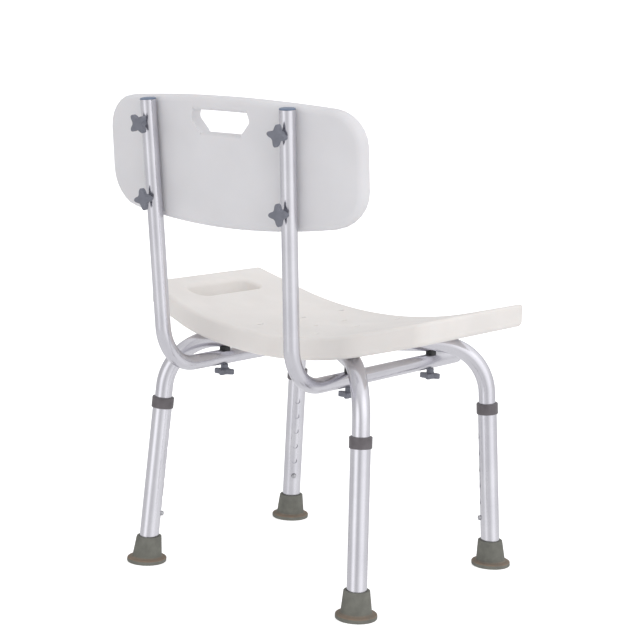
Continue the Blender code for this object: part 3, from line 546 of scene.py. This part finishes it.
rivet = {"shank": 3 * mm, "head": 6 * mm, "dome": 1.0 * mm}
half = 2 * crossTube["halfHigh"] + gap / 2 + gap
rivetPiece = turned("crossing_rivet_piece", [
    (0, -half - rivet["dome"], 0), (rivet["head"] * 0.6, -half - 0.8 * rivet["dome"], 0.8 * mm),
    (rivet["head"], -half, 0), (rivet["shank"], -half, 0), (rivet["shank"], half, 0), (rivet["head"], half, 0),
    (rivet["head"] * 0.6, half + 0.8 * rivet["dome"], 0.8 * mm), (0, half + rivet["dome"], 0)], 32,
    chairPlace @ Matrix.Translation((0, 0, crossTube["height"])))
finishPiece(rivetPiece, "bright_steel", "root", "crossing_rivet", sharp=50)
print("saddles and rivet made")

# star knobs, and how far each one was turned when it was done up
knob = {"radius": 15.4 * mm, "valley": 0.55, "taper": 1.5, "stemRadius": 5.5 * mm, "stem": 7 * mm, "head": 8 * mm,
        "edge": 1.5 * mm, "bore": 3.3 * mm, "boreDeep": 4 * mm, "steps": 96, "seatTurn": radians(20)}
backTurns = {"low_left": radians(-9), "high_left": radians(-42),
             "low_right": radians(-4), "high_right": radians(10)}


def makeKnob(name, place, body, node):
    d = knob
    bm = bmesh.new()
    made = bmesh.ops.create_circle(bm, cap_ends=True, segments=d["steps"], radius=1)
    for v in made["verts"]:  # four round lobes with hollow flanks
        angle = atan2(v.co.y, v.co.x)
        lobe = (0.5 + 0.5 * cos(4 * angle)) ** d["taper"]
        reach = d["radius"] * (d["valley"] + (1 - d["valley"]) * lobe)
        v.co = (reach * cos(angle), reach * sin(angle), d["stem"])
    raised = bmesh.ops.extrude_face_region(bm, geom=bm.faces[:])
    bmesh.ops.translate(bm, verts=movedVerts(raised["geom"]), vec=(0, 0, d["head"]))
    rims = [e for e in bm.edges if abs(e.verts[0].co.z - e.verts[1].co.z) < 1e-7]
    bmesh.ops.bevel(bm, geom=rims, affect="EDGES", offset=d["edge"], segments=4, profile=0.5, material=-1)
    head = makeObject(bm, node + "_piece", place)
    stem = turned("stem", [
        (0, 0, 0), (d["stemRadius"], 0, 0.5 * mm), (d["stemRadius"], d["stem"] - 0.3 * mm, 0),
        (d["stemRadius"] + 1.5 * mm, d["stem"] + 1 * mm, 0), (0, d["stem"] + 1 * mm, 0)], 40, place)
    join = head.modifiers.new("join", "BOOLEAN")
    join.operation, join.solver, join.object = "UNION", "EXACT", stem
    applyModifiers(head)
    bpy.data.objects.remove(stem)
    cutAway(head, rodCutter(d["bore"], -1 * mm, d["stem"] + d["boreDeep"], place))
    finishPiece(head, "slate_grey_nylon", body, node)


for name in legNames:
    sx = 1 if footAt[name].x > 0 else -1
    sy = 1 if footAt[name].y > crossing.y else -1
    below = Vector((sx * lTube["x"], sy * lTube["boltY"], lTube["height"] - lTube["radius"] - gap))
    makeKnob(name, chairPlace @ Matrix.Translation(below) @ Euler((pi, 0, knob["seatTurn"])).to_matrix().to_4x4(),
             "knob_seat_" + name, "knob_seat_" + name)
for sideName, side in sides.items():
    for level, height in backKnobs.items():
        spot = Matrix.Translation((side * postX(height), height, -lTube["radius"] - gap))
        turn = Euler((pi, 0, backTurns[level + "_" + sideName])).to_matrix().to_4x4()
        key = "knob_back_" + level + "_" + sideName
        makeKnob(key, postPlane @ spot @ turn, key, key)
print("knobs made")


def rimEdges(bm, height):
    # edges where a hole's straight wall meets the flat face at this height
    found = []
    for e in bm.edges:
        if any(abs(v.co.z - height) > 1e-6 for v in e.verts) or len(e.link_faces) != 2:
            continue
        levels = sorted(abs(f.normal.z) for f in e.link_faces)
        if levels[0] < 0.1 and levels[1] > 0.99:
            found.append(e)
    return found


def flatPlate(points, thick, edge, segments):
    bm = bmesh.new()
    faces = outlineFace(bm, points)
    raised = bmesh.ops.extrude_face_region(bm, geom=faces)
    bmesh.ops.translate(bm, verts=movedVerts(raised["geom"]), vec=(0, 0, thick))
    bm.normal_update()
    rims = [e for e in bm.edges if abs(e.verts[0].co.z - e.verts[1].co.z) < 1e-7]
    bmesh.ops.bevel(bm, geom=rims, affect="EDGES", offset=edge, segments=segments, profile=0.5, material=-1)
    return bm


def softenRims(obj, height, amount, segments, chosen=None):
    bm = bmesh.new()
    bm.from_mesh(obj.data)
    bm.normal_update()
    rims = [e for e in rimEdges(bm, height) if chosen is None or chosen(e.verts[0].co)]
    if rims:
        bmesh.ops.bevel(bm, geom=rims, affect="EDGES", offset=amount, segments=segments, profile=0.5, material=-1)
    bm.to_mesh(obj.data)
    bm.free()


def cutIntoStrips(bm, stations, axis):
    for at in stations:
        bmesh.ops.bisect_plane(bm, geom=bm.verts[:] + bm.edges[:] + bm.faces[:], dist=1e-6,
                               plane_co=[at * c for c in axis], plane_no=axis)


seat = {"halfWide": 0.250, "front": -0.140, "rear": 0.150, "chamferX": 0.150, "chamferY": 0.124,
        "top": 0.369, "thick": 33 * mm, "dishRadius": 0.606, "dishAngle": radians(15.5), "edge": 6 * mm,
        "frontCorner": 8 * mm, "endCorner": 22 * mm, "blend": 0.150,
        "gripX": 0.2, "gripFrom": 0.15, "gripY": 0.008, "gripWide": 38 * mm, "gripLong": 0.150, "gripSoft": 7 * mm,
        "slotX": 0.052, "slotY": 0.100, "innerSlotX": 0.050, "innerSlotY": 0.036, "slotHalf": (1.8 * mm, 7 * mm),
        "slotSoft": 0.8 * mm,
        "channel": 13.5 * mm, "recess": 46 * mm, "stations": 50}
panelCut = (-0.01, 0.05)  # how far below and above a flat panel its cutters reach


def seatRise(x):
    # an arc in the middle, straight flanks towards the ends
    flank = seat["dishRadius"] * sin(seat["dishAngle"])
    if abs(x) <= flank:
        return seat["dishRadius"] - (seat["dishRadius"] ** 2 - x * x) ** 0.5
    return seat["dishRadius"] * (1 - cos(seat["dishAngle"])) + (abs(x) - flank) * tan(seat["dishAngle"])


def slotPoints(x, y, halfX, halfY, fillet):
    return [(x - halfX, y - halfY, fillet), (x + halfX, y - halfY, fillet),
            (x + halfX, y + halfY, fillet), (x - halfX, y + halfY, fillet)]


def atGrip(co):
    return abs(co.x) > seat["gripFrom"]


def atSlot(co):
    return not atGrip(co)


def makeSeat():
    d = seat
    chamfer = atan2(d["rear"] - d["chamferY"], d["halfWide"] - d["chamferX"])
    endFillet, rearFillet = d["endCorner"] * tan((pi / 2 - chamfer) / 2), d["blend"] * tan(chamfer / 2)
    bm = flatPlate([(-d["halfWide"], d["front"], d["frontCorner"]), (d["halfWide"], d["front"], d["frontCorner"]),
                    (d["halfWide"], d["chamferY"], endFillet), (d["chamferX"], d["rear"], rearFillet),
                    (-d["chamferX"], d["rear"], rearFillet), (-d["halfWide"], d["chamferY"], endFillet)],
                   d["thick"], d["edge"], 6)
    obj = makeObject(bm, "seat_panel_piece")
    cutters = []
    for side in sides.values():
        cutters.append(prismCutter(slotPoints(side * d["gripX"], d["gripY"], d["gripWide"] / 2, d["gripLong"] / 2,
                                              d["gripWide"] / 2 - 2 * mm), *panelCut))
    drains = [(sx * d["slotX"], sy * d["slotY"]) for sx in (1, -1) for sy in (1, -1)]
    drains += [(d["innerSlotX"], 0), (-d["innerSlotX"], 0), (0, d["innerSlotY"]), (0, -d["innerSlotY"])]
    for x, y in drains:
        halfX, halfY = d["slotHalf"]
        cutters.append(prismCutter(slotPoints(x, y, halfX, halfY, halfX - 0.1 * mm), *panelCut))
    cutAway(obj, *cutters)
    softenRims(obj, d["thick"], d["gripSoft"], 7, atGrip)
    softenRims(obj, 0, d["gripSoft"] * 0.6, 5, atGrip)
    softenRims(obj, d["thick"], d["slotSoft"], 3, atSlot)
    bm = bmesh.new()
    bm.from_mesh(obj.data)
    flank = d["dishRadius"] * sin(d["dishAngle"])
    count = d["stations"]
    cutIntoStrips(bm, [flank * (2 * k / count - 1) for k in range(count + 1)], (1, 0, 0))
    for v in bm.verts:
        v.co.z += d["top"] - d["thick"] + seatRise(v.co.x)
    bmesh.ops.transform(bm, matrix=chairPlace, verts=bm.verts)
    bm.to_mesh(obj.data)
    bm.free()
    # under the seat: two grooves for the leg tubes, and a round recess where they cross
    under = [rodCutter(d["recess"], 0.30, crossTube["height"] + d["channel"] + 0.5 * mm, chairPlace, 64)]
    for name in ("front_right", "front_left"):
        groove = Matrix.Translation((0, 0, crossTube["height"])) @ Matrix.Rotation(headingOf(name), 4, "Z")
        under.append(grooveCutter(d["channel"], chairPlace @ groove))
    cutAway(obj, *under)
    return finishPiece(obj, "white_polyethylene", "root", "seat_panel", sharp=34)


pastFeet, grooveDeep = 0.05, 0.04  # how far a groove's cutter runs on, and how far down


def grooveCutter(radius, place):
    # a round-topped bar, open below
    bm = bmesh.new()
    half = halfSpan + pastFeet
    turn = Matrix.Rotation(pi / 2, 4, "Y")
    bmesh.ops.create_cone(bm, cap_ends=True, segments=48, radius1=radius, radius2=radius, depth=2 * half, matrix=turn)
    for v in bm.verts:
        if v.co.z < -1e-6:
            v.co.z -= grooveDeep
            v.co.y = radius if v.co.y > 0 else -radius
    return makeObject(bm, "cutter", place)


makeSeat()
print("seat made")

backrest = {"halfWide": 0.2205, "low": 0.2318, "high": 0.3787, "bulgeTop": 13 * mm, "bulgeBottom": 20.5 * mm,
            "rear": 6.3 * mm, "thick": 24 * mm, "curve": 1.3, "corner": 0.0435, "edge": 8 * mm, "stations": 36,
            "gripLow": 0.3405, "gripHigh": 0.3725, "gripHalfLow": 0.034, "gripHalfHigh": 0.051,
            "gripKnee": 12 * mm, "gripSoft": 5.5 * mm, "gripDraft": 0.09}


def makeBackrest():
    d = backrest
    corner = d["corner"]
    bm = flatPlate([(-d["halfWide"], d["low"], corner), (d["halfWide"], d["low"], corner),
                    (d["halfWide"], d["high"], corner), (-d["halfWide"], d["high"], corner)],
                   d["thick"], d["edge"], 7)
    obj = makeObject(bm, "backrest_panel_piece")
    centre, half = (d["low"] + d["high"]) / 2, (d["high"] - d["low"]) / 2
    # the grip is cut before the outline is bowed, so its heights are eased back first
    ease = 1 + d["bulgeTop"] / half
    low, high, knee = [centre + (y - centre) / ease for y in (
        d["gripLow"], d["gripHigh"], d["gripHigh"] - d["gripKnee"])]
    halfLow, halfHigh = d["gripHalfLow"], d["gripHalfHigh"]
    grip = [(-halfLow, low, 2.5 * mm), (halfLow, low, 2.5 * mm), (halfHigh, knee, 3 * mm),
            (halfHigh - 3 * mm, high, 3.5 * mm), (3 * mm - halfHigh, high, 3.5 * mm), (-halfHigh, knee, 3 * mm)]
    cutAway(obj, prismCutter(grip, *panelCut))
    for v in obj.data.vertices:  # the grip's ends have draft, wider at the front
        if abs(v.co.x) < halfHigh + 1 * mm and low - 1 * mm < v.co.y < high + 1 * mm:
            v.co.x *= 1 + d["gripDraft"] * v.co.z / d["thick"]
    softenRims(obj, 0, d["gripSoft"], 7)
    softenRims(obj, d["thick"], d["gripSoft"] * 0.5, 5)
    bm = bmesh.new()
    bm.from_mesh(obj.data)
    count = d["stations"]
    cutIntoStrips(bm, [d["halfWide"] * (2 * k / count - 1) for k in range(1, count)], (1, 0, 0))
    for v in bm.verts:
        crown = 1 - (v.co.x / d["halfWide"]) ** 2
        share = (v.co.y - centre) / half
        v.co.y += share * (d["bulgeTop"] if share > 0 else d["bulgeBottom"]) * crown
        v.co.z += d["rear"] + v.co.x ** 2 / (2 * d["curve"])
    bmesh.ops.transform(bm, matrix=postPlane, verts=bm.verts)
    bm.to_mesh(obj.data)
    bm.free()
    # the backrest gets its own copy of the polyethylene, painted darker as painted shade
    return finishPiece(obj, "white_polyethylene", "root", "backrest_panel", sharp=34,
                       finish=makePolyethylene("back"))


makeBackrest()
print("backrest made")

# CAD pieces that stay get the real finish
for name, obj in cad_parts.items():
    slotName = None
    if name.startswith(("stud_", "button_spring_")):
        slotName = "bright_steel"
    elif name.startswith("insert_"):
        slotName = "brass"
    if slotName:
        obj.data.materials.clear()
        obj.data.materials.append(finishes[slotName])

# The studio: a soft dome with a broad key light on one side, a weaker fill on the other and one overhead.
# Azimuths and elevations are in degrees, spreads are half angles from full light to none.
studio = {"floor": "f2f2f2", "glow": 0.55, "base": 0.65, "bounce": 0.22, "radius": 30, "wall": 40,
          "tint": (0.985, 0.985, 1.0, 1)}
lamps = {"key": {"azimuth": 258, "elevation": 14, "inner": 5, "outer": 48, "strength": 0.52},
         "fill": {"azimuth": 169, "elevation": 4, "inner": 4, "outer": 32, "strength": 0.76},
         "side": {"azimuth": 296, "elevation": 15, "inner": 10, "outer": 75, "strength": 0.20},
         "top": {"azimuth": 300, "elevation": 75, "inner": 10, "outer": 80, "strength": 0.36}}


def aim(azimuth, elevation):
    a, e = radians(azimuth), radians(elevation)
    return Vector((sin(a) * cos(e), -cos(a) * cos(e), sin(e)))


def makeFloor():
    # a flat floor that turns up into a white wall far away; it is only there to be seen,
    # and the light on the chair comes from the dome
    bm = bmesh.new()
    ring = openRing(bm, studio["radius"], (0, 0, 0), (0, 0, 1), 96)
    bmesh.ops.holes_fill(bm, edges=ring[1], sides=96)
    drawOut(bm, ring, (0, 0, studio["wall"]))
    floor = makeObject(bm, "floor")
    mat = bpy.data.materials.new("paleFloor")
    mat.use_nodes = True
    shader = mat.node_tree.nodes["Principled BSDF"]
    shader.inputs["Base Color"].default_value = linear(studio["floor"])
    shader.inputs["Roughness"].default_value = 0.9
    shader.inputs["Specular IOR Level"].default_value = 0.1
    shader.inputs["Emission Color"].default_value = (1, 1, 1, 1)
    shader.inputs["Emission Strength"].default_value = studio["glow"]
    floor.data.materials.append(mat)
    floor.visible_diffuse = floor.visible_glossy = floor.visible_transmission = floor.visible_shadow = False


def makeWorld():
    world = bpy.data.worlds.new("softStudio")
    world.use_nodes = True
    tree = world.node_tree
    toward = addNode(tree, "ShaderNodeTexCoord").outputs["Generated"]
    height = addNode(tree, "ShaderNodeSeparateXYZ", links={"Vector": toward}).outputs["Z"]
    total = addNode(tree, "ShaderNodeMapRange", links={"Value": height}, inputs={
        "From Min": 0.0, "From Max": -0.5,
        "To Min": studio["base"], "To Max": studio["base"] + studio["bounce"]}).outputs["Result"]
    for lamp in lamps.values():
        facing = addNode(tree, "ShaderNodeVectorMath", {"operation": "DOT_PRODUCT"},
                         inputs={1: aim(lamp["azimuth"], lamp["elevation"])}, links={0: toward}).outputs["Value"]
        pool = addNode(tree, "ShaderNodeMapRange", {"interpolation_type": "SMOOTHSTEP"}, inputs={
            "From Min": cos(radians(lamp["outer"])), "From Max": cos(radians(lamp["inner"])),
            "To Min": 0.0, "To Max": lamp["strength"]}, links={"Value": facing}).outputs["Result"]
        total = addNode(tree, "ShaderNodeMath", {"operation": "ADD"}, links={0: total, 1: pool}).outputs[0]
    background = tree.nodes["Background"]
    background.inputs["Color"].default_value = studio["tint"]
    tree.links.new(total, background.inputs["Strength"])
    scene.world = world


makeFloor()
makeWorld()

view = {"azimuth": 216.66, "elevation": 9.234, "roll": 2.244, "aim": (0.0181, 0.0, 0.3709), "distance": 2.75,
        "lens": 103.66}


def makeCamera():
    d = view
    back = aim(d["azimuth"], d["elevation"])
    data = bpy.data.cameras.new("camera")
    data.sensor_width, data.lens = 36, d["lens"]
    obj = bpy.data.objects.new("camera", data)
    scene.collection.objects.link(obj)
    obj.location = Vector(d["aim"]) + Vector((0, crossing.y, 0)) + back * d["distance"]
    obj.rotation_mode = "QUATERNION"
    roll = Matrix.Rotation(radians(d["roll"]), 3, "Z").to_quaternion()
    obj.rotation_quaternion = (-back).to_track_quat("-Z", "Y") @ roll
    scene.camera = obj


makeCamera()
scene.view_settings.view_transform = "Standard"
print("studio and camera made")
